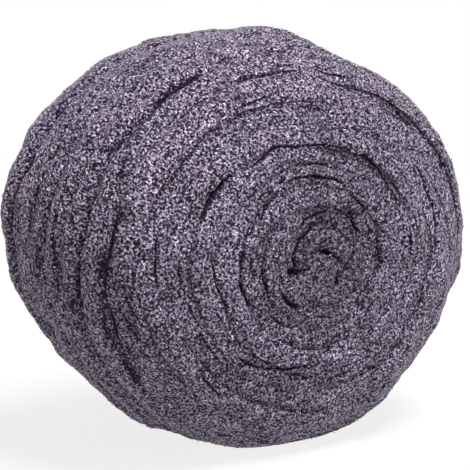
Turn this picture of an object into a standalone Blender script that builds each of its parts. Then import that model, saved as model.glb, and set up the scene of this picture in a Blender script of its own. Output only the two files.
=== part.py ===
"""A soft roll of steel wool: one long strip of matted steel fibre, wound up and lying on its curved side.

The roll's axis runs along Y, with its better face towards -Y. It rests on a small flat, at z = 0,
that its own weight presses into the outermost wrap.
"""

import math

import bmesh
import bpy

# The wound strip, in metres
TURNS = 9
STRIP_THICKNESS = 0.0089
TURN_GAP = 0.0004
CORE_RADIUS = 0.0014
CORE_FOLDING = 7.0
TAIL_THICKNESS = 0.0022

# The roll's outside, measured from its widest section
FRONT_DEPTH = 0.0575
BACK_DEPTH = 0.0455
FRONT_SQUARENESS = 3.6
BACK_SQUARENESS = 3.8
SIDE_SPREAD = 0.0055
FLOOR_SINK = 0.0032
FRONT_SLUMP = 0.0045
CORE_ASIDE = 0.0015
CORE_RISE = 0.0030
SECOND_LOBE = -0.0031
THIRD_LOBE = 0.0011

# The turns are packed closer on one side of the core than on the other
TURN_DRIFT = 0.09
DRIFT_TOWARD = math.radians(215.0)

# Soft bulges and dents: angle in degrees, distance forward, spread in both, and height
BULGES = (
    (84.0, 0.006, 8.0, 0.012, 0.0024),
    (70.0, 0.024, 7.0, 0.010, -0.0024),
    (56.0, 0.032, 10.0, 0.010, -0.0010),
    (114.0, -0.023, 7.0, 0.012, -0.0014),
    (172.0, -0.026, 25.0, 0.015, 0.0048),
    (241.0, -0.003, 8.0, 0.012, 0.0034),
    (273.0, 0.033, 8.0, 0.012, -0.0014),
    (325.0, 0.042, 8.0, 0.012, -0.0028),
)

# The rounded edges of the strip, which show as rings on both faces
LIP_DEPTH = 0.0019
LIP_ROUNDNESS = 2.4
LIP_LEAST_SHARE = 0.35
WRAP_EDGE_DROP = 0.0026
WRAP_EDGE_ROUNDING = 0.6

# How the strip's edges stray along the roll: two slow wavers, as (share, waves to a radian, phase)
EDGE_WANDER = 0.0011
FRONT_WAVERS = ((1.0, 1.37, 0.0), (0.6, 2.71, 0.0))
BACK_WAVERS = ((1.0, 1.37, 2.1), (0.6, 2.71, 2.7))

# Creases round the outermost wrap: distance in front of the widest section, and depth
CREASES = ((0.0270, 0.0026), (0.0175, 0.0014), (0.0065, 0.0012), (-0.0160, 0.0024))
CREASE_WIDTH = 0.0050
CREASE_SLANT = 0.0095
SLANT_TOWARD = math.radians(75.0)
CREASE_EDGE = 0.0050
STATION_GAP = 0.0008
BAND_BULGE = 0.0009

# How the two ends of the strip lie
TAIL_ANGLE = math.radians(-35.0)
TAIL_TAPER = math.radians(90.0)
UNCOVERED_RAMP = math.radians(36.0)
NOSE_TAPER = math.radians(75.0)
NOSE_SHARE = 0.88

CORE_STEPS = 20
OUTSIDE_STEPS = 62
LIP_STEPS = (0.0, 0.2, 0.5, 0.8, 1.0)
SMOOTH_ANGLE = math.radians(75.0)
WOOL_COLOUR = (0.135, 0.115, 0.158, 1.0)
WOOL_ROUGHNESS = 0.55
WOOL_METALLIC = 0.7

TAU = 2.0 * math.pi
PITCH = STRIP_THICKNESS + TURN_GAP
WOUND_LENGTH = TAU * TURNS
LAST_TURN = WOUND_LENGTH - TAU
WOUND_RADIUS = CORE_RADIUS + PITCH * TURNS + TAIL_THICKNESS
HALF_WIDTH = WOUND_RADIUS + SIDE_SPREAD / 2.0
HALF_HEIGHT = WOUND_RADIUS - SIDE_SPREAD / 2.0
FLOOR_LEVEL = -(HALF_HEIGHT - FLOOR_SINK)


def smooth_step(value):
    """0 below 0, 1 above 1, and an even S between them."""
    value = min(1.0, max(0.0, value))
    return value * value * (3.0 - 2.0 * value)


def inner_radius(wound):
    """Radius of the strip's inner side after this much winding: an even spiral.

    The first turn is folded up into the core, and leaves only a narrow crooked gap.
    """
    turns = wound / TAU
    if turns < 1.0:
        turns = turns**CORE_FOLDING
    return CORE_RADIUS + PITCH * turns


def outline_radius(wound):
    """Radius of the whole roll in this direction, over the turn that ends at the strip's tail.

    It grows with the spiral, then falls back over the thinned tail, so the outline closes on itself.
    """
    along = (wound - LAST_TURN) % TAU
    taper_start = TAU - TAIL_TAPER
    if along <= taper_start:
        rise = along
    else:
        rise = taper_start * (1.0 + math.cos(math.pi * (along - taper_start) / TAIL_TAPER)) / 2.0
    return WOUND_RADIUS + PITCH * rise / TAU


def end_depth(share, front):
    """Distance of the rounded end from the widest section, at this share of the outline radius."""
    depth = FRONT_DEPTH if front else BACK_DEPTH
    squareness = FRONT_SQUARENESS if front else BACK_SQUARENESS
    return depth * max(0.0, 1.0 - share**squareness) ** (1.0 / squareness)


def side_share(forward):
    """Share of the outline radius that the rounded side has, this far in front of the widest section."""
    depth = FRONT_DEPTH if forward > 0.0 else BACK_DEPTH
    squareness = FRONT_SQUARENESS if forward > 0.0 else BACK_SQUARENESS
    return max(0.0, 1.0 - (abs(forward) / depth) ** squareness) ** (1.0 / squareness)


def uncovered(wound):
    """0 where the next turn covers the strip, 1 where the strip is the outermost wrap."""
    return smooth_step((wound - LAST_TURN) / UNCOVERED_RAMP)


def crease_share(wound):
    """How much of their depth the creases have: none under the next turn, and none on the thin tail."""
    return uncovered(wound) * smooth_step((WOUND_LENGTH - wound) / TAIL_TAPER)


def direction(wound):
    """Angle round the roll's axis that the winding has reached, anticlockwise from +X as seen from -Y."""
    return TAIL_ANGLE + wound - WOUND_LENGTH


def drifted(share, wound):
    """The share moved towards the outline on one side of the roll and towards the core on the other."""
    reach = (1.0 - (1.0 - share) ** 4) * (1.0 - share**8)
    return share + TURN_DRIFT * math.cos(direction(wound) - DRIFT_TOWARD) * reach


def strip_sides(wound):
    """Shares of the outline radius at the strip's inner and outer side."""
    outline = outline_radius(wound)
    inner = inner_radius(wound) / outline
    outer = (inner_radius(wound + TAU) - TURN_GAP) / outline
    if wound > LAST_TURN:
        outer += (1.0 - outer) * uncovered(wound)
    nose = 1.0 - min(1.0, wound / NOSE_TAPER)
    thinning = 1.0 - (1.0 - NOSE_SHARE) * nose * nose
    inner = outer - (outer - inner) * thinning
    return drifted(inner, wound), drifted(outer, wound)


def edge_wander(wound, front):
    """How far the strip's edge strays along the roll: a slow hand-wound waver."""
    wavers = FRONT_WAVERS if front else BACK_WAVERS
    return EDGE_WANDER * sum(share * math.sin(waves * wound + phase) for share, waves, phase in wavers)


def lip_points(wound, inner, outer, front):
    """(share, forward) points round one edge of the strip, from its outer to its inner side."""
    bare = uncovered(wound)
    shoulder = side_share(end_depth(inner, front) - WRAP_EDGE_DROP)
    bare_top = max(min(outer, shoulder), inner + LIP_LEAST_SHARE * (outer - inner))
    top = outer + (bare_top - outer) * bare
    points = []
    for step in LIP_STEPS:
        share = top + (inner - top) * step
        sunk = LIP_DEPTH * abs(2.0 * step - 1.0) ** LIP_ROUNDNESS
        flattening = 1.0 if step < 0.5 else 1.0 - WRAP_EDGE_ROUNDING
        depth = end_depth(share, front) - sunk * (1.0 - flattening * bare) + edge_wander(wound, front)
        points.append((share, depth if front else -depth))
    return points


def side_stations():
    """(forward, rise) pairs across the outermost wrap, from back to front: bands between creases."""
    stations = []
    start = CREASE_WIDTH - BACK_DEPTH
    for middle, depth in sorted(CREASES):
        near, far = middle - CREASE_WIDTH / 2.0, middle + CREASE_WIDTH / 2.0
        stations += [((start + near) / 2.0, BAND_BULGE), (near, 0.0), (middle, -depth), (far, 0.0)]
        start = far
    stations.append(((start + FRONT_DEPTH - CREASE_WIDTH) / 2.0, BAND_BULGE))
    return stations


def side_points(wound, outer, back, front, stations):
    """(share, forward) points of the wrap's face, its creases slanted and faded out at its edges."""
    points = []
    slant = CREASE_SLANT * math.cos(direction(wound) - SLANT_TOWARD)
    for order, (level, rise) in enumerate(stations):
        lowest = back + STATION_GAP * (order + 1)
        highest = front - STATION_GAP * (len(stations) - order)
        forward = min(max(level + slant, lowest), highest)
        fade = min(1.0, min(forward - back, front - forward) / CREASE_EDGE)
        swell = (side_share(forward) - outer) * uncovered(wound)
        points.append((outer + swell + crease_share(wound) * fade * rise / WOUND_RADIUS, forward))
    return points


def bulge(angle, forward):
    """Height of the bulges and dents here: a bell for each, in both directions."""
    height = 0.0
    for middle, station, turn, reach, rise in BULGES:
        aside = math.degrees(math.remainder(angle - math.radians(middle), TAU))
        height += rise * math.exp(-((aside / turn) ** 2) - ((forward - station) / reach) ** 2)
    return height


def place(wound, share, forward):
    """A point of the roll in the world, from its winding, share of the outline and forward distance."""
    angle = direction(wound)
    lobes = SECOND_LOBE * math.sin(2.0 * angle) + THIRD_LOBE * math.sin(3.0 * angle)
    lobes += share**2 * bulge(angle, forward)
    stretch = share * (1.0 + lobes / WOUND_RADIUS)
    inward = 1.0 - share**2
    x = HALF_WIDTH * stretch * math.cos(angle) + CORE_ASIDE * inward + FRONT_SLUMP * forward / FRONT_DEPTH
    z = HALF_HEIGHT * stretch * math.sin(angle) + CORE_RISE * inward
    return x, -forward, max(z, FLOOR_LEVEL) - FLOOR_LEVEL


def strip_section(wound, stations):
    """The closed outline of the strip's section at one place along its winding.

    The points of the outer side come last, and a covered turn has none between its two edges.
    """
    inner, outer = strip_sides(wound)
    front_lip = lip_points(wound, inner, outer, True)
    back_lip = lip_points(wound, inner, outer, False)
    side = side_points(wound, outer, back_lip[0][1], front_lip[0][1], stations)
    outline = front_lip + back_lip[::-1] + side
    return [place(wound, share, forward) for share, forward in outline]


def winding_stops():
    """Where the sections stand along the winding: more to a turn as the turns get larger."""
    stops = []
    for turn in range(TURNS):
        steps = round(CORE_STEPS + (OUTSIDE_STEPS - CORE_STEPS) * turn / (TURNS - 1))
        stops += [TAU * (turn + step / steps) for step in range(steps)]
    return stops + [WOUND_LENGTH]


def centred(sections):
    """The sections moved so that the middle of their box stands over the origin."""
    across = [x for section in sections for x, _, _ in section]
    along = [y for section in sections for _, y, _ in section]
    shift_x = (min(across) + max(across)) / 2.0
    shift_y = (min(along) + max(along)) / 2.0
    return [[(x - shift_x, y - shift_y, z) for x, y, z in section] for section in sections]


def wound_strip(sections):
    """A closed mesh of the strip: a band of faces from each section to the next, and two end faces."""
    shape = bmesh.new()
    rings = [[shape.verts.new(point) for point in section] for section in sections]
    for near, far in zip(rings, rings[1:]):
        shared = min(len(near), len(far))
        for index in range(shared - 1):
            shape.faces.new((near[index], near[index + 1], far[index + 1], far[index]))
        near_side = near[shared - 1:] + near[:1]
        far_side = far[shared - 1:] + far[:1]
        shape.faces.new(near_side + far_side[::-1])
    shape.faces.new(rings[0])
    shape.faces.new(rings[-1])
    bmesh.ops.recalc_face_normals(shape, faces=shape.faces)
    mesh = bpy.data.meshes.new("wool_roll")
    shape.to_mesh(mesh)
    shape.free()
    return mesh


def wool_material():
    """Dark steel with a faint violet cast."""
    material = bpy.data.materials.new("steel_wool")
    material.use_nodes = True
    surface = material.node_tree.nodes["Principled BSDF"]
    surface.inputs["Base Color"].default_value = WOOL_COLOUR
    surface.inputs["Roughness"].default_value = WOOL_ROUGHNESS
    surface.inputs["Metallic"].default_value = WOOL_METALLIC
    return material


def main():
    for old in list(bpy.data.objects):
        bpy.data.objects.remove(old)
    stations = side_stations()
    sections = []
    for wound in winding_stops():
        sections.append(strip_section(wound, stations if wound >= LAST_TURN else []))
    mesh = wound_strip(centred(sections))
    mesh.shade_smooth()
    mesh.set_sharp_from_angle(angle=SMOOTH_ANGLE)
    mesh.materials.append(wool_material())
    roll = bpy.data.objects.new("wool_roll", mesh)
    bpy.context.scene.collection.objects.link(roll)


main()
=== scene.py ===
# %% [markdown]
# # A soft roll of steel wool
#
# Steel wool is shaved from steel wire. The shavings are laid side by side in a wide, flat strip,
# and the strip is wound up into a roll. So the roll has three looks: a spiral of soft rings on
# each end, broad bands round its side, and a skin of fine curly fibres over everything.
#
# The lesson builds them in that order: the wound strip first, as one closed surface that follows
# a formula, then its finish, then the fibres that stand out of it.

import math

import bpy
import numpy as np
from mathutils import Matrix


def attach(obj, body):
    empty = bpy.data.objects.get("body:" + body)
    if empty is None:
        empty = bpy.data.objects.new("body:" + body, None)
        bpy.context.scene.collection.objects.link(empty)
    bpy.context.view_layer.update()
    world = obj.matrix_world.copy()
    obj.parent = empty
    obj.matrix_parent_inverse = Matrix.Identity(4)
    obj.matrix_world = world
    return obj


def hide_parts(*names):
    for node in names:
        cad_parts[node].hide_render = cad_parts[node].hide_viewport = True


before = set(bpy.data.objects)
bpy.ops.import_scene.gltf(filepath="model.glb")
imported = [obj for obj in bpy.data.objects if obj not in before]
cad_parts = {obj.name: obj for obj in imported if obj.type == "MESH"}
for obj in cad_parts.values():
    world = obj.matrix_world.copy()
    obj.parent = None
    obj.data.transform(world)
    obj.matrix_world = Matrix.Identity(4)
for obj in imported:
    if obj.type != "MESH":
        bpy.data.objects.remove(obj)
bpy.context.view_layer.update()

# %% [markdown]
# ## The camera
#
# The roll is seen a little from above and from its left, so that its end shows as a broad
# ellipse and its side as a band on the left. The view is narrow, as of a long lens from well
# back. A camera could track a target, but working out its turn from the two angles keeps it
# plain: the camera looks back along the line that joins it to the roll's middle.

# %% Camera
VIEW_AZIMUTH = math.radians(-32.0)
VIEW_ELEVATION = math.radians(12.3)
VIEW_DISTANCE = 0.727
VIEW_CENTRE = (0.0007, 0.0056, 0.0817)
VIEW_WIDTH = 0.1942
SENSOR_WIDTH = 36.0


def make_camera():
    """A camera on a ray from the roll's middle: azimuth 0 looks along +Y, elevation looks down."""
    data = bpy.data.cameras.new("camera")
    data.sensor_width = SENSOR_WIDTH
    data.lens = SENSOR_WIDTH * VIEW_DISTANCE / VIEW_WIDTH
    camera = bpy.data.objects.new("camera", data)
    flat = math.cos(VIEW_ELEVATION) * VIEW_DISTANCE
    camera.location = (
        VIEW_CENTRE[0] + flat * math.sin(VIEW_AZIMUTH),
        VIEW_CENTRE[1] - flat * math.cos(VIEW_AZIMUTH),
        VIEW_CENTRE[2] + VIEW_DISTANCE * math.sin(VIEW_ELEVATION),
    )
    camera.rotation_euler = (math.pi / 2.0 - VIEW_ELEVATION, 0.0, VIEW_AZIMUTH)
    bpy.context.scene.collection.objects.link(camera)
    bpy.context.scene.camera = camera
    return camera


print("lens", round(make_camera().data.lens, 1), "mm")

# %% [markdown]
# ## Node maths
#
# A procedural finish is a sum in nodes. Written as one node after another it is hard to read. So
# one small class wraps a node tree and adds nodes to it, and another wraps a socket, so that an
# expression such as `1 - grain * 2` adds the Math nodes for it. Colours go through Mix nodes,
# since a Math node would turn them grey.

# %% A node tree, and sockets that can be added and multiplied
# A Mix node has its own sockets for each kind of data: these are the numbers of those for colours.
MIX_SHARE, MIX_FIRST, MIX_SECOND, MIX_RESULT = 0, 6, 7, 2


class Nodes:
    """A node tree, with one method that adds a node to it."""

    def __init__(self, tree):
        self.tree = tree

    def fill(self, node, sockets):
        """Link a Value to its socket, or set a plain number, vector or colour on it."""
        for name, value in sockets.items():
            if isinstance(value, Value):
                self.tree.links.new(value.socket, node.inputs[name])
            else:
                node.inputs[name].default_value = value

    def add(self, kind, settings=None, sockets=None, output=0):
        """Add a node: its type, its settings, its sockets' values or links, the output wanted."""
        made = self.tree.nodes.new(kind)
        for name, setting in (settings or {}).items():
            setattr(made, name, setting)
        self.fill(made, sockets or {})
        return Value(self, made.outputs[output])


class Value:
    """One output socket of a node tree, with the usual operators."""

    def __init__(self, nodes, socket):
        self.nodes = nodes
        self.socket = socket

    def math(self, operation, *values):
        """A Math node of this operation, with the values on its sockets in their order."""
        return self.nodes.add("ShaderNodeMath", {"operation": operation}, dict(enumerate(values)))

    def __add__(self, other):
        return self.math("ADD", self, other)

    def __radd__(self, other):
        return self.math("ADD", other, self)

    def __sub__(self, other):
        return self.math("SUBTRACT", self, other)

    def __rsub__(self, other):
        return self.math("SUBTRACT", other, self)

    def __mul__(self, other):
        return self.math("MULTIPLY", self, other)

    def __rmul__(self, other):
        return self.math("MULTIPLY", other, self)

    def __pow__(self, other):
        return self.math("POWER", self, other)

    def __abs__(self):
        return self.math("ABSOLUTE", self)

    def larger(self, other):
        """The larger of the two values."""
        return self.math("MAXIMUM", self, other)


def at_least(least, value):
    """The least where the value is 0, 1 where it is 1, and evenly between."""
    return least + value * (1.0 - least)


def step_between(value, low, high):
    """0 where the value is below low, 1 above high, and an even S between."""
    settings = {"interpolation_type": "SMOOTHSTEP"}
    sockets = {"Value": value, "From Min": low, "From Max": high}
    return value.nodes.add("ShaderNodeMapRange", settings, sockets, "Result")


def mix_colours(share, first, second):
    """The first colour where the share is 0, the second where it is 1."""
    sockets = {MIX_SHARE: share, MIX_FIRST: first, MIX_SECOND: second}
    return share.nodes.add("ShaderNodeMix", {"data_type": "RGBA"}, sockets, MIX_RESULT)


print("at_least works on plain numbers too: half way up from 0.2 is", round(at_least(0.2, 0.5), 2))

# %% [markdown]
# ## Floor and light
#
# The object stands on a plain pale floor. To the camera, the floor and the world behind it are
# white, and only the soft shadow shows, while the light that reaches the roll stays at a plain
# level. A glowing floor alone would be white too, but no shadow would fall on it, so its glow is
# mixed with a matt colour. The key light is a broad panel above, a little in front and to the
# right, as a studio's soft box. A weaker panel fills in from low on the right.

# %% Floor
bpy.context.scene.view_settings.view_transform = "Standard"
SEEN_RAYS = ("Is Camera Ray", "Is Glossy Ray", "Is Transmission Ray")
FLOOR_SIZE = 6.0
FLOOR_COLOUR = (0.8, 0.8, 0.8, 1.0)
PURE_WHITE = (1.0, 1.0, 1.0, 1.0)
FLOOR_WHITE_SHARE = 0.82
SHADOW_REACH = (0.16, 0.50)


def seen_directly(nodes):
    """The largest of three flags: 1 for rays from the camera, off a gloss or through clear bodies."""
    camera_ray, glossy_ray, clear_ray = [
        nodes.add("ShaderNodeLightPath", output=ray) for ray in SEEN_RAYS
    ]
    return camera_ray.larger(glossy_ray).larger(clear_ray)


def make_floor_finish():
    """White to the camera, with a matt share that shows the shadow and fades out with distance."""
    material = bpy.data.materials.new("floor")
    material.use_nodes = True
    nodes = Nodes(material.node_tree)
    nodes.tree.nodes.remove(nodes.tree.nodes["Principled BSDF"])
    coords = nodes.add("ShaderNodeTexCoord", output="Object")
    away = nodes.add("ShaderNodeVectorMath", {"operation": "LENGTH"}, {"Vector": coords}, "Value")
    white_share = at_least(FLOOR_WHITE_SHARE, step_between(away, *SHADOW_REACH))
    matt = nodes.add("ShaderNodeBsdfDiffuse", sockets={"Color": FLOOR_COLOUR})
    white = nodes.add("ShaderNodeEmission", sockets={"Color": PURE_WHITE, "Strength": 1.0})
    sockets = {"Fac": seen_directly(nodes) * white_share, 1: matt, 2: white}
    mixed = nodes.add("ShaderNodeMixShader", sockets=sockets)
    nodes.fill(nodes.tree.nodes["Material Output"], {"Surface": mixed})
    return material


def make_floor():
    """A square at z = 0."""
    half = FLOOR_SIZE / 2.0
    mesh = bpy.data.meshes.new("floor")
    corners = [(-half, -half, 0.0), (half, -half, 0.0), (half, half, 0.0), (-half, half, 0.0)]
    mesh.from_pydata(corners, [], [(0, 1, 2, 3)])
    mesh.materials.append(make_floor_finish())
    floor = bpy.data.objects.new("floor", mesh)
    bpy.context.scene.collection.objects.link(floor)


make_floor()
print("the floor is", FLOOR_SIZE, "m wide")

# %% World and lamps
WORLD_STRENGTH = 0.17
LAMP_AIM = (0.0, 0.0, 0.08)
LAMPS = (
    ("key_panel", (0.18, -0.30, 1.15), 0.50, 23.5),
    ("fill_panel", (0.75, -0.95, 0.35), 0.60, 5.0),
)


def make_world():
    """An even pale sky that lights softly and shows as pure white."""
    world = bpy.data.worlds.new("world")
    world.use_nodes = True
    nodes = Nodes(world.node_tree)
    strength = at_least(WORLD_STRENGTH, seen_directly(nodes))
    nodes.fill(nodes.tree.nodes["Background"], {"Color": PURE_WHITE, "Strength": strength})
    bpy.context.scene.world = world


def make_panel(name, spot, size, power):
    """A square area lamp that faces the roll."""
    data = bpy.data.lights.new(name, "AREA")
    data.energy = power
    data.size = size
    lamp = bpy.data.objects.new(name, data)
    lamp.location = spot
    away = np.array(spot) - np.array(LAMP_AIM)
    flat = math.hypot(away[0], away[1])
    lamp.rotation_euler = (math.atan2(flat, away[2]), 0.0, math.atan2(away[0], -away[1]))
    bpy.context.scene.collection.objects.link(lamp)


make_world()
for lamp in LAMPS:
    make_panel(*lamp)
print("lamps:", [name for name, *_ in LAMPS])

# %% [markdown]
# ## The wound strip
#
# The strip is a spiral: its distance from the roll's axis grows by one pitch a turn. It could be
# made with a curve and a bevel, but then the turns could not follow the roll's rounded ends. So
# every point is worked out from two numbers, how far the strip is wound up and where the point
# lies round the strip's section.
#
# Two things shape the roll. Its section across the axis is an oval, wider than high, and all
# distances from the axis are kept as shares of that oval. Along the axis, the roll's outside is a
# very square oval, so both ends bulge and the side is a barrel.

# %% Sizes of the strip, in metres
# The pitch is that of the solid part. The seam left open between two turns is much thinner here.
TAU = 2.0 * math.pi
TURNS = 9
STRIP_THICKNESS = 0.0089
TURN_GAP = 0.0004
SEAM_GAP = 0.00008
CORE_RADIUS = 0.0014
CORE_FOLDING = 34.0
TAIL_THICKNESS = 0.0022
TAIL_ANGLE = math.radians(-35.0)
TAIL_TAPER = math.radians(90.0)
UNCOVERED_RAMP = math.radians(36.0)
NOSE_TAPER = math.radians(75.0)
NOSE_SHARE = 0.97
PITCH = STRIP_THICKNESS + TURN_GAP
WOUND_LENGTH = TAU * TURNS
LAST_TURN = WOUND_LENGTH - TAU
WOUND_RADIUS = CORE_RADIUS + PITCH * TURNS + TAIL_THICKNESS
print("the roll has", TURNS, "turns of", round(PITCH * 1000.0, 1), "mm")

# %% The spiral and the roll's outline
FRONT_DEPTH = 0.0575
BACK_DEPTH = 0.0455
FRONT_SQUARENESS = 3.6
BACK_SQUARENESS = 3.8


def smooth_step(value):
    """0 below 0, 1 above 1, and 3 v squared less 2 v cubed between."""
    value = np.clip(value, 0.0, 1.0)
    return value * value * (3.0 - 2.0 * value)


def inner_radius(wound):
    """Core radius plus one pitch a turn; the first turn is folded up, as a high power."""
    turns = np.maximum(wound / TAU, 0.0)
    return CORE_RADIUS + PITCH * np.where(turns < 1.0, turns**CORE_FOLDING, turns)


def outline_radius(wound):
    """The roll's radius at this angle: it grows with the spiral, then a cosine brings it back."""
    along = (wound - LAST_TURN) % TAU
    start = TAU - TAIL_TAPER
    back = start * (1.0 + np.cos(math.pi * (along - start) / TAIL_TAPER)) / 2.0
    return WOUND_RADIUS + PITCH * np.where(along <= start, along, back) / TAU


def end_depth(share, front):
    """Depth times the root of one less the share to a high power: a squared oval."""
    depth = FRONT_DEPTH if front else BACK_DEPTH
    power = FRONT_SQUARENESS if front else BACK_SQUARENESS
    return depth * np.clip(1.0 - share**power, 0.0, 1.0) ** (1.0 / power)


def side_share(forward):
    """The same squared oval, read the other way: the share for a distance along the axis."""
    depth = np.where(forward > 0.0, FRONT_DEPTH, BACK_DEPTH)
    power = np.where(forward > 0.0, FRONT_SQUARENESS, BACK_SQUARENESS)
    return np.clip(1.0 - (np.abs(forward) / depth) ** power, 0.0, 1.0) ** (1.0 / power)


print("the roll is", round((FRONT_DEPTH + BACK_DEPTH) * 1000.0), "mm long before it is roughened")

# %% Where the strip runs
TURN_DRIFT = 0.09
DRIFT_TOWARD = math.radians(215.0)
CORE_DRIFT_POWER = 4
OUTSIDE_DRIFT_POWER = 8


def uncovered(wound):
    """0 where another turn lies on the strip, 1 where it is the outside of the roll."""
    return smooth_step((wound - LAST_TURN) / UNCOVERED_RAMP)


def direction(wound):
    """Angle round the axis that the winding has reached, anticlockwise as seen from the front."""
    return TAIL_ANGLE + wound - WOUND_LENGTH


def drifted(share, wound):
    """The share plus a cosine of the direction, times a swell that is 0 at the core and outside."""
    reach = (1.0 - (1.0 - share) ** CORE_DRIFT_POWER) * (1.0 - share**OUTSIDE_DRIFT_POWER)
    return share + TURN_DRIFT * np.cos(direction(wound) - DRIFT_TOWARD) * reach


def strip_sides(wound):
    """The strip's inner and outer side, as shares of the outline, thinned at the core."""
    outline = outline_radius(wound)
    inner = inner_radius(wound) / outline
    outer = (inner_radius(wound + TAU) - SEAM_GAP) / outline
    outer = outer + (1.0 - outer) * uncovered(wound) * (wound > LAST_TURN)
    nose = 1.0 - np.minimum(1.0, wound / NOSE_TAPER)
    thinning = 1.0 - (1.0 - NOSE_SHARE) * nose * nose
    inner = outer - (outer - inner) * thinning
    return drifted(inner, wound), drifted(outer, wound)


HALF_WAY = np.array([WOUND_LENGTH / 2.0])
print("half way, the strip's sides lie at", [round(float(s[0]), 3) for s in strip_sides(HALF_WAY)])

# %% [markdown]
# ## Grooves and crevices
#
# Where two turns meet, their soft edges leave a shallow groove. What the eye sees first, though,
# are crevices: short dark stretches where the matted wool has parted, in a groove or beside it.
# They could be painted on, but a real dip also darkens by itself and catches light on its rim. So
# a table lists each crevice as its depth, its half width and a line of places that it runs
# through, and a bell-shaped trough is cut along that line. Finer crevices come from noise.
#
# A crack in wool is narrower and blacker than a mesh can show. So each crevice also leaves a
# shadow on the mesh's points, which the finish later turns into a dark line. Across the crevice
# the shadow is shaped as a tent, which stays crisp between points that lie apart, and it is
# darker the steeper the crevice is.

# %% Noise, and the fine crevices made with it
GRID = 512
LATTICE_SHIFT = 100.0
FINE_LENGTH = 0.014
FINE_WIDTH = 0.0010
FINE_DEPTH = 0.0007
FINE_CUT = 0.66
FINE_RAMP = 0.14
FINE_SHADOW = 0.8
FINE_SHARE, BROAD_SHARE = 0.65, 0.35
BROAD_LENGTHS, BROAD_WIDTHS = 3.0, 4.0
BROAD_SEED = 10
LEAST_WOUND = 0.02


def smooth_noise(first, second, seed):
    """Random heights on a square lattice, joined by smooth steps in both directions."""
    table = np.random.default_rng(seed).random((GRID, GRID))
    column, row = np.floor(first).astype(int), np.floor(second).astype(int)
    along, over = smooth_step(first - column), smooth_step(second - row)
    near = table[column % GRID, row % GRID] * (1.0 - along)
    near = near + table[(column + 1) % GRID, row % GRID] * along
    far = table[column % GRID, (row + 1) % GRID] * (1.0 - along)
    far = far + table[(column + 1) % GRID, (row + 1) % GRID] * along
    return near * (1.0 - over) + far * over


def fine_crevices(wound, across, seed):
    """0 on plain wool, 1 in a crevice: the peaks of two noises, stretched along the winding."""
    along = wound * WOUND_RADIUS * np.sqrt(np.maximum(wound / WOUND_LENGTH, LEAST_WOUND))
    along, across = np.broadcast_arrays(along / FINE_LENGTH, across / FINE_WIDTH)
    fine = smooth_noise(along, across + LATTICE_SHIFT, seed)
    across = across / BROAD_WIDTHS + LATTICE_SHIFT
    broad = smooth_noise(along / BROAD_LENGTHS, across, seed + BROAD_SEED)
    return smooth_step((FINE_SHARE * fine + BROAD_SHARE * broad - FINE_CUT) / FINE_RAMP)


print("a fine crevice is about", FINE_LENGTH * 1000.0, "mm long and", FINE_WIDTH * 1000.0, "mm wide")

# %% Cutting the crevices of a table; lengths along the angle are in degrees
CREVICE_TAPER = 9.0
MOST_TAPER_SHARE = 0.4
CREVICE_WOBBLE = 1.2
WOBBLE_LENGTH = 7.0
WOBBLE_SEED = 21
UNEVEN_DEPTH = (0.7, 0.6)
UNEVEN_DARKNESS = (0.45, 0.6)
UNEVEN_LENGTH = 5.0
UNEVEN_SEED = 22
DARKEST_STEEPNESS = 1.6
LEAST_DARKNESS = 0.35
SHADOW_REACH_WIDTHS = 3.0


def carved(table, wound, level, unit):
    """Depth of the crevices: bells across each line of (angle, level), faded at its ends.

    The line wobbles and its depth varies with noise along the angle. The second result is the
    shadow, a tent across each line that is 1 in the middle of a steep crevice and less in a wide
    and shallow one. The unit is the length of one step of level in metres.
    """
    angle, level = np.broadcast_arrays(np.degrees(direction(wound)), level)
    depth, shadow = np.zeros(angle.shape), np.zeros(angle.shape)
    for order, (deepest, width, line) in enumerate(table):
        angles, levels = np.array(line, dtype=float).T
        along = (angle - angles[0]) % 360.0
        length = angles[-1] - angles[0]
        taper = min(CREVICE_TAPER, length * MOST_TAPER_SHARE)
        hold = smooth_step(along / taper) * smooth_step((length - along) / taper)
        row = np.full(along.shape, order + 0.5)
        wobble = smooth_noise(along / WOBBLE_LENGTH, row, WOBBLE_SEED) - 0.5
        uneven = smooth_noise(along / UNEVEN_LENGTH, row, UNEVEN_SEED)
        uneven = UNEVEN_DEPTH[0] + UNEVEN_DEPTH[1] * uneven
        middle = np.interp(along, angles - angles[0], levels)
        offset = (level - middle) / width + CREVICE_WOBBLE * wobble
        bell = np.exp(-(offset**2)) * hold * uneven
        depth = np.maximum(depth, deepest * bell)
        steepness = min(1.0, deepest / (width * unit) / DARKEST_STEEPNESS)
        darkest = at_least(LEAST_DARKNESS, steepness) * np.sqrt(hold)
        darkest = darkest * (UNEVEN_DARKNESS[0] + UNEVEN_DARKNESS[1] * uneven)
        shadow = np.maximum(shadow, darkest * (1.0 - np.abs(offset) / SHADOW_REACH_WIDTHS))
    return depth, np.clip(shadow, 0.0, 1.0)


print("a crevice is darkest from a slope of", DARKEST_STEEPNESS, "up")

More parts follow.
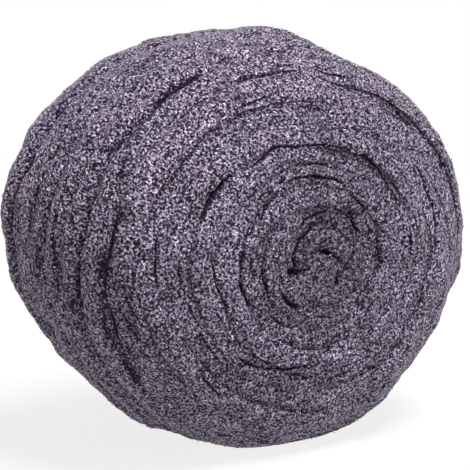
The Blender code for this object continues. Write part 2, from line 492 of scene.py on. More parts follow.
# %% The crevices on both ends: depth, half width in shares of the outline, (angle, share) line
FRONT_CREVICES = (
    (0.0010, 0.0048, ((70, 0.862), (92, 0.870))),
    (0.0009, 0.0038, ((158, 0.905), (180, 0.923), (205, 0.945))),
    (0.0018, 0.020, ((168, 0.925), (200, 0.950), (232, 0.972), (262, 0.965))),
    (0.0014, 0.0067, ((-12, 0.600), (12, 0.630), (40, 0.650))),
    (0.0004, 0.0060, ((36, 0.655), (60, 0.668), (105, 0.665))),
    (0.0009, 0.0053, ((20, 0.522), (50, 0.542))),
    (0.0014, 0.0053, ((-12, 0.458), (14, 0.455))),
    (0.0009, 0.0048, ((6, 0.400), (22, 0.425), (42, 0.445), (60, 0.480), (75, 0.500))),
    (0.0008, 0.0060, ((70, 0.500), (88, 0.525), (112, 0.550), (136, 0.567))),
    (0.0011, 0.0048, ((132, 0.593), (148, 0.605), (164, 0.627))),
    (0.0013, 0.0053, ((172, 0.690), (188, 0.690))),
    (0.0006, 0.0048, ((186, 0.692), (228, 0.700))),
    (0.0006, 0.0048, ((100, 0.780), (122, 0.778))),
    (0.0006, 0.0048, ((160, 0.780), (188, 0.778))),
    (0.0009, 0.0053, ((214, 0.785), (236, 0.800))),
    (0.0011, 0.0048, ((164, 0.565), (186, 0.550), (208, 0.556))),
    (0.0021, 0.0075, ((220, 0.635), (238, 0.602), (250, 0.550), (268, 0.470))),
    (0.0010, 0.0053, ((256, 0.540), (272, 0.495))),
    (0.0010, 0.0053, ((264, 0.485), (282, 0.420))),
    (0.0019, 0.0060, ((166, 0.415), (184, 0.435), (194, 0.455), (214, 0.450))),
    (0.0011, 0.0048, ((82, 0.425), (98, 0.435), (114, 0.458))),
    (0.0011, 0.0060, ((70, 0.320), (84, 0.355), (102, 0.372), (126, 0.398))),
    (0.0006, 0.0048, ((124, 0.385), (158, 0.390))),
    (0.0010, 0.0083, ((170, 0.390), (198, 0.392))),
    (0.0010, 0.0053, ((218, 0.402), (248, 0.375))),
    (0.0010, 0.0060, ((180, 0.345), (214, 0.350))),
    (0.0010, 0.0060, ((34, 0.258), (60, 0.280), (68, 0.300), (82, 0.305))),
    (0.0021, 0.0075, ((214, 0.302), (244, 0.290))),
    (0.0008, 0.0060, ((252, 0.300), (278, 0.302))),
    (0.0014, 0.0067, ((302, 0.250), (322, 0.248))),
    (0.0008, 0.0048, ((296, 0.295), (340, 0.272))),
    (0.0010, 0.0053, ((300, 0.362), (328, 0.360))),
    (0.0010, 0.0053, ((298, 0.458), (322, 0.462))),
    (0.0013, 0.0067, ((281, 0.410), (292, 0.408))),
    (0.0014, 0.009, ((8, 0.148), (32, 0.178), (46, 0.190), (62, 0.240))),
    (0.0012, 0.008, ((82, 0.190), (96, 0.188), (128, 0.195), (140, 0.190))),
    (0.0026, 0.0090, ((110, 0.150), (130, 0.140), (168, 0.157), (204, 0.172))),
    (0.0056, 0.027, ((196, 0.200), (208, 0.198), (222, 0.140))),
    (0.0048, 0.023, ((274, 0.160), (286, 0.145), (296, 0.130))),
    (0.0016, 0.0070, ((288, 0.136), (316, 0.108), (344, 0.112), (362, 0.125))),
    (0.0008, 0.010, ((226, 0.092), (292, 0.090))),
)
BACK_CREVICES = (
    (0.0010, 0.0060, ((60, 0.862), (92, 0.870))),
    (0.0009, 0.0050, ((236, 0.950), (262, 0.930))),
    (0.0018, 0.0090, ((20, 0.640), (80, 0.672))),
    (0.0014, 0.0075, ((110, 0.560), (150, 0.610))),
    (0.0018, 0.0090, ((200, 0.600), (240, 0.640))),
    (0.0012, 0.0067, ((290, 0.720), (330, 0.700))),
    (0.0016, 0.0075, ((70, 0.460), (120, 0.480))),
    (0.0020, 0.0090, ((230, 0.420), (270, 0.450))),
    (0.0014, 0.0075, ((320, 0.520), (370, 0.500))),
    (0.0018, 0.0083, ((140, 0.350), (190, 0.360))),
    (0.0016, 0.0075, ((10, 0.300), (60, 0.330))),
    (0.0014, 0.0080, ((250, 0.270), (310, 0.250))),
    (0.0012, 0.0067, ((150, 0.780), (200, 0.770))),
    (0.0018, 0.0090, ((80, 0.180), (160, 0.160))),
    (0.0020, 0.0110, ((280, 0.150), (320, 0.130))),
)
print("crevices:", len(FRONT_CREVICES), "on the front end and", len(BACK_CREVICES), "on the back")

# %% How the strip's edges run
LIP_DEPTH = 0.0007
LIP_ROUNDNESS = 2.4
LIP_LEAST_SHARE = 0.35
FRONT_LIP_STEPS = 28
BACK_LIP_STEPS = 10
WRAP_EDGE_ROUNDING = 0.85
WRAP_EDGE_DROP = 0.0026
EDGE_WANDER = 0.0008
WANDER_WAVES = ((1.0, 1.37, 1.0), (0.6, 2.71, 1.3))
BACK_WANDER_SHIFT = 2.1
FRONT_SEED, BACK_SEED, SIDE_SEED = 3, 4, 5


def edge_wander(wound, front):
    """A slow waver of the strip's edge: two sines of unlike length, shifted at the back."""
    shift = 0.0 if front else BACK_WANDER_SHIFT
    waves = [size * np.sin(rate * wound + turn * shift) for size, rate, turn in WANDER_WAVES]
    return EDGE_WANDER * sum(waves)


def lip(wound, front):
    """One rounded edge: from the strip's outer side, step 0, to its inner side, step 1.

    The depth along the axis is that of the roll's squared oval, less a shallow dip that grows
    with the distance from the middle of the edge to a power, less the crevices.
    """
    steps = FRONT_LIP_STEPS if front else BACK_LIP_STEPS
    step = (1.0 - np.cos(math.pi * np.linspace(0.0, 1.0, steps))) / 2.0
    wound = wound[:, None]
    inner, outer = strip_sides(wound)
    bare = uncovered(wound)
    shoulder = side_share(end_depth(inner, front) - WRAP_EDGE_DROP)
    bare_top = np.maximum(np.minimum(outer, shoulder), inner + LIP_LEAST_SHARE * (outer - inner))
    top = outer + (bare_top - outer) * bare
    share = top + (inner - top) * step
    from_middle = np.abs(2.0 * step - 1.0)
    hold = 1.0 - np.where(step < 0.5, 1.0, 1.0 - WRAP_EDGE_ROUNDING) * bare
    dip = LIP_DEPTH * from_middle**LIP_ROUNDNESS * hold
    lines = fine_crevices(wound, share * WOUND_RADIUS, FRONT_SEED if front else BACK_SEED)
    table = FRONT_CREVICES if front else BACK_CREVICES
    crevice, dark = carved(table, wound, share, WOUND_RADIUS)
    depth = end_depth(share, front) - dip - crevice - FINE_DEPTH * lines + edge_wander(wound, front)
    return share, depth if front else -depth, np.maximum(FINE_SHADOW * lines, dark)


print("half way, the front edge stands", round(float(lip(HALF_WAY, True)[1].max()), 4), "m forward")

# %% [markdown]
# ## The outermost wrap
#
# The last turn is the side of the roll. The strip has been pulled tight in places, so its face is
# gathered into broad bands with creases between them, which run right round on a slant. They could
# be sculpted, but a formula keeps them even all round: each crease is a bell-shaped trough at its
# own distance along the axis, and between the creases the bands swell.

# %% Bands and creases
CREASES = ((0.0270, 0.0026), (0.0175, 0.0014), (0.0065, 0.0012), (-0.0160, 0.0024))
CREASE_WIDTH = 0.0024
CREASE_SLANT = 0.0095
SLANT_TOWARD = math.radians(75.0)
CREASE_EDGE = 0.0050
BAND_BULGE = 0.0009


def crease_share(wound):
    """None under the next turn, and none on the thin tail."""
    return uncovered(wound) * smooth_step((WOUND_LENGTH - wound) / TAIL_TAPER)


def band_rise(forward, wound):
    """The bulge of the bands, less a bell-shaped trough for each crease, all on a slant."""
    level = forward - CREASE_SLANT * np.cos(direction(wound) - SLANT_TOWARD)
    rise = np.full(level.shape, BAND_BULGE)
    for middle, depth in CREASES:
        rise = rise - (depth + BAND_BULGE) * np.exp(-(((level - middle) / CREASE_WIDTH) ** 2))
    return rise


print("creases:", len(CREASES))

# %% The wrap's outer face; its crevices: depth and half width in metres, (angle, distance) line
SIDE_STEPS = 130
SIDE_CREVICES = (
    (0.0026, 0.00112, ((112, 0.0318), (135, 0.0315), (150, 0.0295), (165, 0.0270), (196, 0.0222))),
    (0.0022, 0.00120, ((186, 0.0236), (222, 0.0205))),
    (0.0011, 0.00074, ((116, 0.0366), (132, 0.0345), (150, 0.0333))),
    (0.0008, 0.00074, ((86, 0.0410), (110, 0.0385), (121, 0.0368))),
    (0.0008, 0.00093, ((102, 0.0215), (128, 0.0230), (140, 0.0210), (152, 0.0195), (166, 0.0170))),
    (0.0008, 0.00093, ((128, 0.0138), (145, 0.0130), (152, 0.0105), (160, 0.0070), (176, 0.0018))),
    (0.0011, 0.00081, ((128, 0.0038), (150, 0.0010), (158, -0.0015), (174, -0.0030))),
    (0.0005, 0.00060, ((172, -0.0058), (192, -0.0064))),
    (0.0005, 0.00060, ((184, 0.0090), (195, 0.0040), (202, -0.0010))),
    (0.0005, 0.00060, ((196, 0.0152), (216, 0.0118))),
    (0.0007, 0.00062, ((60, 0.0330), (84, 0.0320), (100, 0.0300))),
    (0.0011, 0.00062, ((250, 0.0160), (300, 0.0230), (350, 0.0330), (380, 0.0370))),
    (0.0007, 0.00060, ((230, 0.0080), (275, 0.0110))),
    (0.0008, 0.00060, ((10, 0.0160), (50, 0.0260))),
    (0.0007, 0.00060, ((330, 0.0020), (380, 0.0120))),
    (0.0012, 0.00062, ((60, -0.0060), (120, -0.0100), (170, -0.0180), (230, -0.0240))),
    (0.0008, 0.00060, ((270, -0.0200), (330, -0.0120), (370, -0.0080))),
    (0.0007, 0.00060, ((20, -0.0200), (80, -0.0160))),
)


def side(wound, front, back):
    """The wrap's outer face, from its back edge to its front edge, with its creases."""
    step = np.linspace(0.0, 1.0, SIDE_STEPS + 2)[1:-1]
    forward = back + (front - back) * step
    wound = wound[:, None]
    _, outer = strip_sides(wound)
    swell = (side_share(forward) - outer) * uncovered(wound)
    fade = np.clip(np.minimum(forward - back, front - forward) / CREASE_EDGE, 0.0, 1.0)
    lines = fine_crevices(wound, forward, SIDE_SEED) * uncovered(wound)
    crevice, dark = carved(SIDE_CREVICES, wound, forward, 1.0)
    rise = crease_share(wound) * (band_rise(forward, wound) - crevice) * fade
    rise = rise - FINE_DEPTH * lines * fade
    shadow = np.maximum(FINE_SHADOW * lines, dark * crease_share(wound))
    return outer + swell + rise / WOUND_RADIUS, forward, shadow


print("crevices on the side:", len(SIDE_CREVICES))

# %% [markdown]
# ## Hand-wound unevenness
#
# No two places on a real roll are alike. Its outline has a few soft bulges and dents, which a
# table lists, and every point is pushed a little by soft ripples, which are sums of sine waves in
# scattered directions. Blender's noise texture could push them too, but a sum of sines takes a few
# lines of numpy and comes out the same each run. Points that lie close together are pushed alike,
# so two turns never cut through each other. The push fades out at the floor, where the roll's
# weight has pressed it flat.

# %% Placing a point of the roll; bulges: degrees round, metres forward, spread in both, height
SIDE_SPREAD = 0.0055
FLOOR_SINK = 0.0032
FRONT_SLUMP = 0.0045
CORE_ASIDE = 0.0015
CORE_RISE = 0.0030
SECOND_LOBE = -0.0031
THIRD_LOBE = 0.0011
BULGES = (
    (84.0, 0.006, 8.0, 0.012, 0.0024),
    (70.0, 0.024, 7.0, 0.010, -0.0024),
    (56.0, 0.032, 10.0, 0.010, -0.0010),
    (114.0, -0.023, 7.0, 0.012, -0.0014),
    (172.0, -0.026, 25.0, 0.015, 0.0048),
    (241.0, -0.003, 8.0, 0.012, 0.0034),
    (273.0, 0.033, 8.0, 0.012, -0.0014),
    (325.0, 0.042, 8.0, 0.012, -0.0028),
)
HALF_WIDTH = WOUND_RADIUS + SIDE_SPREAD / 2.0
HALF_HEIGHT = WOUND_RADIUS - SIDE_SPREAD / 2.0
FLOOR_LEVEL = -(HALF_HEIGHT - FLOOR_SINK)


def bulge(angle, forward):
    """The sum of a bell for each bulge or dent, across the angle and along the axis."""
    height = np.zeros(np.broadcast(angle, forward).shape)
    for middle, station, turn, reach, rise in BULGES:
        aside = (np.degrees(angle) - middle + 180.0) % 360.0 - 180.0
        height = height + rise * np.exp(-((aside / turn) ** 2) - ((forward - station) / reach) ** 2)
    return height


def place(wound, share, forward):
    """The oval times the share, at the angle that the winding has reached, slumped and pressed."""
    angle = direction(wound)
    lobes = SECOND_LOBE * np.sin(2.0 * angle) + THIRD_LOBE * np.sin(3.0 * angle)
    lobes = 1.0 + (lobes + share**2 * bulge(angle, forward)) / WOUND_RADIUS
    lean = forward / FRONT_DEPTH
    inward = 1.0 - share**2
    across = HALF_WIDTH * share * lobes * np.cos(angle) + FRONT_SLUMP * lean + CORE_ASIDE * inward
    height = HALF_HEIGHT * share * lobes * np.sin(angle) + CORE_RISE * inward - FLOOR_LEVEL
    across, along, height = np.broadcast_arrays(across, -forward, height)
    return np.stack([across, along, height], axis=-1)


print("the axis runs", round(place(0.0, 0.0, 0.0)[2], 4), "m above the floor")

# %% Ripples: wavelength and size
RIPPLE_WAVES = 18
RIPPLES = ((0.036, 0.0005), (0.013, 0.0002), (0.006, 0.00012))
RIPPLE_SPREAD = (0.7, 1.4)
RIPPLE_SEED_STEP = 10
FLOOR_FADE = 0.004


def ripples(points, wavelength, seed):
    """The sum of sine waves of about one length, scaled to a spread of one."""
    draw = np.random.default_rng(seed)
    directions = draw.normal(size=(RIPPLE_WAVES, 3))
    directions /= np.linalg.norm(directions, axis=1, keepdims=True)
    lengths = wavelength * draw.uniform(*RIPPLE_SPREAD, RIPPLE_WAVES)
    phases = draw.uniform(0.0, TAU, RIPPLE_WAVES)
    waves = np.sin(points @ (directions * (TAU / lengths[:, None])).T + phases)
    return waves.sum(axis=-1) * math.sqrt(2.0 / RIPPLE_WAVES)


def centred(points):
    """Move the points so that the middle of their box stands over the origin."""
    middle = (points.min(axis=0) + points.max(axis=0)) / 2.0
    return points - middle * (1.0, 1.0, 0.0)


def roughen(points):
    """Push each point by the ripples, and keep it above the floor."""
    push = np.zeros_like(points)
    for order, (wavelength, size) in enumerate(RIPPLES):
        for axis in range(3):
            push[:, axis] += size * ripples(points, wavelength, RIPPLE_SEED_STEP * order + axis)
    moved = points + push * smooth_step(points[:, 2:] / FLOOR_FADE)
    moved[:, 2] = np.maximum(moved[:, 2], 0.0)
    return moved


print("the ripples push a point by about", sum(size for _, size in RIPPLES), "m")

# %% [markdown]
# ## One closed surface
#
# The rings on the ends, the seams between turns and the side are all one strip of wool. They could
# be separate pieces, but gaps would open between them. So each place along the winding gets one
# closed section, and the sections are joined into a tube that is capped at both ends. Only the
# last turn has the side's points, so it is a grid of its own, joined on by one ring of faces.

# %% Sections of the strip
CORE_STEPS = 70
OUTSIDE_STEPS = 270
ROUNDING = 1e-9


def winding_stops():
    """Places along the winding, more to a turn as the turns get larger."""
    stops = []
    for turn in range(TURNS):
        steps = round(CORE_STEPS + (OUTSIDE_STEPS - CORE_STEPS) * turn / (TURNS - 1))
        stops.append(TAU * (turn + np.arange(steps) / steps))
    return np.append(np.concatenate(stops), WOUND_LENGTH)


def strip_sections(wound, with_side):
    """A grid of points: one row for each place, one column for each point round the section."""
    front = lip(wound, True)
    back = lip(wound, False)
    parts = [front, [values[:, ::-1] for values in back]]
    if with_side:
        parts.append(side(wound, front[1][:, :1], back[1][:, :1]))
    shares, depths, shadows = [np.concatenate(values, axis=1) for values in zip(*parts)]
    return place(wound[:, None], shares, depths), shadows


print("places along the winding:", len(winding_stops()))

# %% Faces of the strip


def grid_faces(rows, columns, start):
    """The four-sided faces of a grid that closes on itself across its columns."""
    index = start + np.arange(rows * columns).reshape(rows, columns)
    across = np.roll(index, -1, axis=1)
    faces = np.stack([index[:-1], across[:-1], across[1:], index[1:]], axis=-1)
    return faces.reshape(-1, 4)


def strip_faces(covered, bare):
    """Faces of both grids, the ring that joins them, and a cap on each end."""
    narrow, wide = covered[1], bare[1]
    start = covered[0] * narrow
    near = np.arange(start - narrow, start)
    far = np.arange(start, start + wide)
    joint = np.stack([near[:-1], near[1:], far[1:narrow], far[: narrow - 1]], axis=-1)
    faces = grid_faces(*covered, 0).tolist() + grid_faces(*bare, start).tolist() + joint.tolist()
    faces.append([int(near[-1]), int(near[0]), int(far[0])] + far[narrow - 1 :][::-1].tolist())
    faces.append(np.arange(narrow)[::-1].tolist())
    last = start + bare[0] * wide
    faces.append(np.arange(last - wide, last).tolist())
    return faces


print("a closed grid of 3 by 4 points has", len(grid_faces(3, 4, 0)), "faces")

# %% The wound strip


def make_strip():
    """The covered turns and the last wrap as two grids, with the shadow of each point."""
    stops = winding_stops()
    is_covered = stops < LAST_TURN - ROUNDING
    covered, covered_shadow = strip_sections(stops[is_covered], False)
    bare, bare_shadow = strip_sections(stops[~is_covered], True)
    points = roughen(centred(np.concatenate([covered.reshape(-1, 3), bare.reshape(-1, 3)])))
    mesh = bpy.data.meshes.new("wound_strip")
    mesh.from_pydata(points.tolist(), [], strip_faces(covered.shape[:2], bare.shape[:2]))
    mesh.shade_smooth()
    shadow = np.concatenate([covered_shadow.ravel(), bare_shadow.ravel()])
    mesh.attributes.new("shadow", "FLOAT", "POINT").data.foreach_set("value", shadow)
    strip = bpy.data.objects.new("wound_strip", mesh)
    bpy.context.scene.collection.objects.link(strip)
    return strip


strip = make_strip()
strip.data.calc_loop_triangles()
print("the strip has", len(strip.data.loop_triangles), "triangles")
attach(strip, "root")
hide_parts("wool_roll")

# %% [markdown]
# ## The finish of the wool
#
# Seen from near, steel wool is a tangle of thin curled shavings: bright lines where a shaving
# catches the light, near black where the eye looks between them. A photograph could be laid on it,
# but it would stretch over the round ends, and a pattern worked out in space does not. A pattern
# of contour lines does this well: where smooth noise passes its middle value, it draws a thin
# curly line, so the noise's distance from its middle, turned into a narrow ridge, gives curls.
# Two layers of curls of unlike size cross each other.
#
# From further back, the tangle shows as a grain of light and dark specks, which two fine noises
# give. Slow noise changes the brightness from place to place, the core is painted darker than the
# turns round it as painted shade, and the shadow of the crevices, frayed by the specks, darkens it
# most.

# %% Patterns of the wool
CURL_SCALES = (700.0, 1000.0)
CURL_WIDTHS = (0.07, 0.098)
CURL_DETAIL = 1.0
SMALL_CURLS = 0.8
PATCH_SCALE = 90.0
PATCH_DETAIL = 3.0
PATCH_RANGE = (0.25, 0.75)
PATCH_LIGHT = 0.8
GRAIN_SCALES = (960.0, 1250.0)
GRAIN_SHARES = (0.45, 0.55)
GRAIN_RANGE = (0.34, 0.69)
GRAIN_POWER = 1.3
# Painted shade at the core: its middle, the distances over which the light comes back, the least
# light there.
CORE_PLACE = (0.006, 0.0, 0.083)
CORE_SHADE_REACH = (0.008, 0.042)
CORE_SHADE_LIGHT = 0.62


def noise(coords, scale, detail):
    """Smooth noise of this scale, about 0.5 on average."""
    sockets = {"Vector": coords, "Scale": scale, "Detail": detail}
    return coords.nodes.add("ShaderNodeTexNoise", sockets=sockets)


def curls(coords, scale, width):
    """1 on the contour line of the noise's middle value, falling to 0 at this distance from it."""
    return 1.0 - step_between(abs(noise(coords, scale, CURL_DETAIL) - 0.5), 0.0, width)


def tangle(coords):
    """The brighter of two layers of curls, the smaller ones a little weaker."""
    large, small = [curls(coords, *size) for size in zip(CURL_SCALES, CURL_WIDTHS)]
    return large.larger(small * SMALL_CURLS)


def grain(coords):
    """A mix of two fine noises: how much of the light each speck of the tangle sends back."""
    coarse, fine = [noise(coords, scale, 0.0) for scale in GRAIN_SCALES]
    return step_between(coarse * GRAIN_SHARES[0] + fine * GRAIN_SHARES[1], *GRAIN_RANGE)


def patches(coords):
    """Slow noise between a little less light and all of it."""
    return at_least(PATCH_LIGHT, step_between(noise(coords, PATCH_SCALE, PATCH_DETAIL), *PATCH_RANGE))


def painted_core_shade(coords):
    """Painted shade: less light near the core, more with the distance from it, measured across the
    axis only.
    """
    flatten = {0: coords, 1: (1.0, 0.0, 1.0)}
    flat = coords.nodes.add("ShaderNodeVectorMath", {"operation": "MULTIPLY"}, flatten)
    ends = {0: flat, 1: CORE_PLACE}
    reach = coords.nodes.add("ShaderNodeVectorMath", {"operation": "DISTANCE"}, ends, "Value")
    return at_least(CORE_SHADE_LIGHT, step_between(reach, *CORE_SHADE_REACH))


print("a speck is about", round(1000.0 / GRAIN_SCALES[0], 1), "mm wide")

# %% Wool material
# The curls and specks are the shavings' own pattern; their bright colour is painted glint, and the
# near-black hollow colour between them is painted shade.
HOLLOW_COLOUR = (0.014, 0.007, 0.019, 1.0)
SHAVING_COLOUR = (0.70, 0.60, 0.79, 1.0)
BETWEEN_CURLS_LIGHT = 0.3
LEAST_LIGHT = 0.01
SHADOW_FRAYING = 0.15
SHADOW_RANGE = (0.50, 0.78)
SHADOW_DARKNESS = 0.9
STRIP_ROUGHNESS = 0.62
CURL_SMOOTHING = 0.22
STRIP_METALLIC = 0.75
GLOSS_LEVEL = 0.1
SPECK_RELIEF = 0.4
RELIEF_DEPTH = 0.0006
RELIEF_STRENGTH = 0.9


def attribute(nodes, name):
    """The value that the mesh's points carry under this name."""
    return nodes.add("ShaderNodeAttribute", {"attribute_name": name}, output="Fac")


def start_material(name):
    """A material with nodes, its tree and its Object coordinates."""
    material = bpy.data.materials.new(name)
    material.use_nodes = True
    nodes = Nodes(material.node_tree)
    return material, nodes, nodes.add("ShaderNodeTexCoord", output="Object")


def make_strip_finish():
    """Curls times specks times patches and painted core shade; the painted crevice shadow takes the
    light away.
    """
    material, nodes, coords = start_material("wool_tangle")
    lines = tangle(coords)
    speck = grain(coords)
    bright = at_least(BETWEEN_CURLS_LIGHT, lines) * patches(coords) * speck**GRAIN_POWER
    # Painted shade at the core.
    bright = bright * painted_core_shade(coords) + LEAST_LIGHT
    crisp = step_between(attribute(nodes, "shadow") - speck * SHADOW_FRAYING, *SHADOW_RANGE)
    bright = bright * (1.0 - crisp * SHADOW_DARKNESS)
    relief = {
        "Height": lines + speck * SPECK_RELIEF,
        "Distance": RELIEF_DEPTH,
        "Strength": RELIEF_STRENGTH,
    }
    sockets = {
        "Base Color": mix_colours(bright, HOLLOW_COLOUR, SHAVING_COLOUR),
        "Roughness": STRIP_ROUGHNESS - lines * CURL_SMOOTHING,
        "Metallic": STRIP_METALLIC,
        "Specular IOR Level": GLOSS_LEVEL,
        "Normal": nodes.add("ShaderNodeBump", sockets=relief),
    }
    nodes.fill(nodes.tree.nodes["Principled BSDF"], sockets)
    return material


strip.data.materials.clear()
strip.data.materials.append(make_strip_finish())
print("nodes in the wool's finish:", len(strip.data.materials[0].node_tree.nodes))

# %% [markdown]
# ## The loose fibres
#
# A smooth surface with a pattern on it never looks like wool from near. So thousands of short
# curly shavings lie on the strip and stand out of it, each a thin tube of three sides. Hair
# particles could do it, but they aren't a mesh, and the fibres should be a part of the model.
#
# Each fibre starts at a random place on the strip, where three directions are known: along the
# winding, across it, and out of the surface. Its heading turns steadily as it goes, which curls
# it, and its height over the surface rises to a low arch, or climbs away at a loose end. In a
# crevice the wool has parted, so the fibres there are few and short and lie along it, and they are
# painted dark as shade.

# %% Places on the surface
LONGEST_SKIN_EDGE = 0.006
CREVICE_BARENESS = 0.99
PARTED = (0.45, 0.78)


def skin_triangles(piece):
    """Corner points and partings of the small triangles: the long ones lie hidden between turns."""
    mesh = piece.data
    points = np.empty(len(mesh.vertices) * 3)
    mesh.vertices.foreach_get("co", points)
    corners = np.empty(len(mesh.loop_triangles) * 3, dtype=np.int32)
    mesh.loop_triangles.foreach_get("vertices", corners)
    corners = corners.reshape(-1, 3)
    shadow = np.empty(len(mesh.vertices))
    mesh.attributes["shadow"].data.foreach_get("value", shadow)
    places = points.reshape(-1, 3)[corners]
    edges = np.linalg.norm(places - np.roll(places, 1, axis=1), axis=2)
    small = edges.max(axis=1) < LONGEST_SKIN_EDGE
    shadow = shadow[corners][small].mean(axis=1)
    return places[small], smooth_step((shadow - PARTED[0]) / (PARTED[1] - PARTED[0]))


def facing_back(triangles):
    """How far each triangle faces along the axis: -1 to the front, 1 to the back."""
    normals = np.cross(triangles[:, 1] - triangles[:, 0], triangles[:, 2] - triangles[:, 0])
    return normals[:, 1] / np.linalg.norm(normals, axis=1)


def scattered(triangles, parted, count, draw):
    """Random places, as likely on each patch as it is large, but few in a crevice; and normals."""
    sides = triangles[:, 1:] - triangles[:, :1]
    normals = np.cross(sides[:, 0], sides[:, 1])
    areas = np.linalg.norm(normals, axis=1)
    weights = areas * (1.0 - CREVICE_BARENESS * parted)
    chosen = draw.choice(len(triangles), size=count, p=weights / weights.sum())
    first, second = draw.random((2, count, 1))
    folded = first + second > 1.0
    first, second = np.where(folded, 1.0 - first, first), np.where(folded, 1.0 - second, second)
    places = triangles[chosen, 0] + first * sides[chosen, 0] + second * sides[chosen, 1]
    return places, normals[chosen] / areas[chosen, None], parted[chosen]


triangles, triangle_parted = skin_triangles(strip)
facing = facing_back(triangles)
print(len(triangles), "small triangles carry fibres")

# %% A fibre's course
FIBRE_POINTS = 4
FIBRE_LENGTHS = (0.0015, 0.0050)
PARTED_SHORTENING = 0.4
PARTED_ALIGNING = 0.9
COMBED_SHARE = 0.55
COMBED_SPREAD, CROSSING_SPREAD = 0.45, 2.2
CURL = 600.0
WAVER = 0.5
ARCHES = (-0.0002, 0.0010)
LIFTS = (-0.0001, 0.0003)
LOOSE_SHARE = 0.42
LOOSE_CLIMBS = (0.05, 0.35)


def surface_directions(places, normals):
    """Along the winding, which is square to the line from the roll's middle, and across it."""
    radial = places - np.array(VIEW_CENTRE)
    along = np.stack([-radial[:, 2], np.zeros(len(places)), radial[:, 0]], axis=1)
    along -= normals * (along * normals).sum(axis=1, keepdims=True)
    along /= np.linalg.norm(along, axis=1, keepdims=True) + ROUNDING
    return along, np.cross(normals, along)


def fibre_headings(run, length, parted, draw):
    """A random heading, near the winding's or wide of it, plus a steady curl and a sine."""
    count = len(length)
    spread = np.where(draw.random((count, 1)) < COMBED_SHARE, COMBED_SPREAD, CROSSING_SPREAD)
    spread = spread * (1.0 - PARTED_ALIGNING * np.minimum(1.0, 2.0 * parted))
    heading = draw.normal(0.0, 1.0, (count, 1)) * spread
    heading = heading + draw.integers(0, 2, (count, 1)) * math.pi
    heading = heading + draw.normal(0.0, CURL, (count, 1)) * length * run
    waver = draw.normal(0.0, WAVER, (count, 1))
    return heading + waver * np.sin(TAU * (run + draw.random((count, 1))))


def fibre_heights(run, length, draw):
    """A small lift, plus a square arch, plus a squared climb for the loose ones."""
    count = len(length)
    arch = draw.uniform(*ARCHES, (count, 1)) * (1.0 - 4.0 * run**2)
    loose = draw.random((count, 1)) < LOOSE_SHARE
    climb = np.where(loose, draw.uniform(*LOOSE_CLIMBS, (count, 1)) * length, 0.0) * (run + 0.5) ** 2
    return draw.uniform(*LIFTS, (count, 1)) + arch + climb


def fibre_courses(places, normals, parted, draw):
    """Points of each fibre: steps along its heading, centred on its place, at its height."""
    along, across = surface_directions(places, normals)
    run = np.linspace(-0.5, 0.5, FIBRE_POINTS)
    parted = parted[:, None]
    length = draw.uniform(*FIBRE_LENGTHS, (len(places), 1)) * (1.0 - PARTED_SHORTENING * parted)
    heading = fibre_headings(run, length, parted, draw)
    stride = length / (FIBRE_POINTS - 1)
    forth = np.cumsum(np.cos(heading) * stride, axis=1)
    aside = np.cumsum(np.sin(heading) * stride, axis=1)
    forth -= forth.mean(axis=1, keepdims=True)
    aside -= aside.mean(axis=1, keepdims=True)
    height = fibre_heights(run, length, draw)
    course = places[:, None] + forth[..., None] * along[:, None] + aside[..., None] * across[:, None]
    return course + height[..., None] * normals[:, None], run


print("a fibre is", FIBRE_LENGTHS, "m long and has", FIBRE_POINTS, "points")

# %% A fibre's tube
FIBRE_RADIUS = 0.00016
FIBRE_RADII = (0.7, 1.3)
TIP_THINNING = 0.6
TIP_POWER = 3
TUBE_SIDES = 3


def tube_points(course, normals, radius):
    """A ring of points round each point of the course, square to the way ahead."""
    ahead = np.gradient(course, axis=1)
    ahead /= np.linalg.norm(ahead, axis=2, keepdims=True)
    out = np.broadcast_to(normals[:, None], course.shape)
    beside = np.cross(ahead, out)
    beside /= np.linalg.norm(beside, axis=2, keepdims=True)
    out = np.cross(beside, ahead)
    turn = math.pi / 2.0 + TAU * np.arange(TUBE_SIDES) / TUBE_SIDES
    ring = np.cos(turn)[:, None] * beside[:, :, None] + np.sin(turn)[:, None] * out[:, :, None]
    points = course[:, :, None] + radius[:, :, None, None] * ring
    points[..., 2] = np.maximum(points[..., 2], 0.0)
    return points.reshape(-1, 3)


def tube_faces(count):
    """Four-sided faces between one ring and the next, and a triangle on each end."""
    index = np.arange(count * FIBRE_POINTS * TUBE_SIDES).reshape(count, FIBRE_POINTS, TUBE_SIDES)
    turned = np.roll(index, -1, axis=2)
    quads = np.stack([index[:, :-1], index[:, 1:], turned[:, 1:], turned[:, :-1]], axis=-1)
    caps = np.concatenate([index[:, 0], index[:, -1, ::-1]])
    return quads.reshape(-1, 4), caps


print("faces of a fibre:", sum(len(faces) for faces in tube_faces(1)))

# %% A mesh of fibres


def mesh_from_arrays(name, points, quads, caps):
    """Fill a mesh from whole arrays: points, then four-sided faces, then triangles."""
    mesh = bpy.data.meshes.new(name)
    loops = np.concatenate([quads.ravel(), caps.ravel()]).astype(np.int32)
    starts = np.concatenate([np.arange(len(quads)) * 4, quads.size + np.arange(len(caps)) * 3])
    mesh.vertices.add(len(points))
    mesh.vertices.foreach_set("co", points.ravel())
    mesh.loops.add(len(loops))
    mesh.loops.foreach_set("vertex_index", loops)
    mesh.polygons.add(len(starts))
    mesh.polygons.foreach_set("loop_start", starts.astype(np.int32))
    mesh.update(calc_edges=True)
    mesh.validate()
    mesh.shade_smooth()
    return mesh


def fibre_mesh(name, places, normals, parted, draw):
    """Three-sided tubes along the courses, thinner towards both ends, as one mesh."""
    course, run = fibre_courses(places, normals, parted, draw)
    radius = FIBRE_RADIUS * draw.uniform(*FIBRE_RADII, (len(places), 1))
    radius = radius * (1.0 - TIP_THINNING * (2.0 * np.abs(run)) ** TIP_POWER)
    points = tube_points(course, normals, radius)
    return mesh_from_arrays(name, points, *tube_faces(len(places)))


print("points of a fibre:", FIBRE_POINTS * TUBE_SIDES)
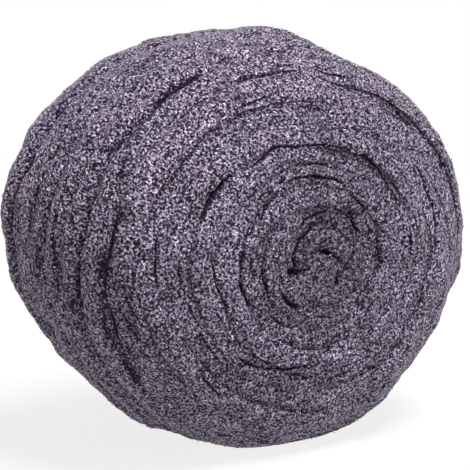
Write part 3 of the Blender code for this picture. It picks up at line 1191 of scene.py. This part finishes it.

# %% [markdown]
# ## The finish of the fibres
#
# A shaving is a bare steel ribbon, bright where it faces the light and dark where it turns away.
# The fibres could share the wool's finish, but then they would vanish in it. So each fibre carries
# its own tone, drawn at random, and the same specks, patches and painted core shade as the wool
# under it.

# %% Fibre finish
# The bright shaving colour where the specks are high is painted glint and the dark one painted shade;
# each fibre's random tone is its own.
DARK_SHAVING = (0.026, 0.015, 0.036, 1.0)
BRIGHT_SHAVING = (0.95, 0.82, 0.99, 1.0)
# How much painted shade darkens the fibres in a crevice.
CREVICE_SHADE_DARKNESS = 0.85
FIBRE_ROUGHNESS = 0.5
SPECK_SMOOTHING = 0.15
FIBRE_METALLIC = 0.9


def make_fibre_finish():
    """Each fibre's own tone times specks, patches and painted core shade, darker in a crevice as
    painted shade.
    """
    material, nodes, coords = start_material("wool_shavings")
    glint = grain(coords)
    # Painted shade at the core.
    lit = attribute(nodes, "tone") * patches(coords) * painted_core_shade(coords)
    # Painted shade: fibres in a crevice are darkened.
    lit = lit * (1.0 - attribute(nodes, "shadow") * CREVICE_SHADE_DARKNESS)
    sockets = {
        "Base Color": mix_colours(glint**GRAIN_POWER * lit, DARK_SHAVING, BRIGHT_SHAVING),
        "Roughness": FIBRE_ROUGHNESS - glint * SPECK_SMOOTHING,
        "Metallic": FIBRE_METALLIC,
        "Specular IOR Level": GLOSS_LEVEL,
    }
    nodes.fill(nodes.tree.nodes["Principled BSDF"], sockets)
    return material


fibre_finish = make_fibre_finish()
print("nodes in the fibres' finish:", len(fibre_finish.node_tree.nodes))

# %% Fibres on both ends and on the side
FIBRES_PER_PIECE = 9500
FIBRE_TONES = (0.35, 1.0)
END_FACING = 0.55
ON_SIDE = np.abs(facing) < END_FACING
FIBRE_PIECES = (
    ("front_fibres", facing <= -END_FACING),
    ("back_fibres", facing >= END_FACING),
    ("side_fibres", ON_SIDE),
    ("crossing_fibres", ON_SIDE),
)


def add_fibres(name, where, seed):
    """One piece of fibres on the chosen triangles, with its parting and tone on every point."""
    draw = np.random.default_rng(seed)
    chosen = triangles[where], triangle_parted[where]
    places, normals, parted = scattered(*chosen, FIBRES_PER_PIECE, draw)
    mesh = fibre_mesh(name, places, normals, parted, draw)
    tone = draw.uniform(*FIBRE_TONES, FIBRES_PER_PIECE)
    for label, values in (("shadow", parted), ("tone", tone)):
        points = np.repeat(values, FIBRE_POINTS * TUBE_SIDES)
        mesh.attributes.new(label, "FLOAT", "POINT").data.foreach_set("value", points)
    piece = bpy.data.objects.new(name, mesh)
    piece.data.materials.append(fibre_finish)
    bpy.context.scene.collection.objects.link(piece)
    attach(piece, "root")


for seed, (name, where) in enumerate(FIBRE_PIECES, start=1):
    add_fibres(name, where, seed)
print("fibres:", len(FIBRE_PIECES) * FIBRES_PER_PIECE)
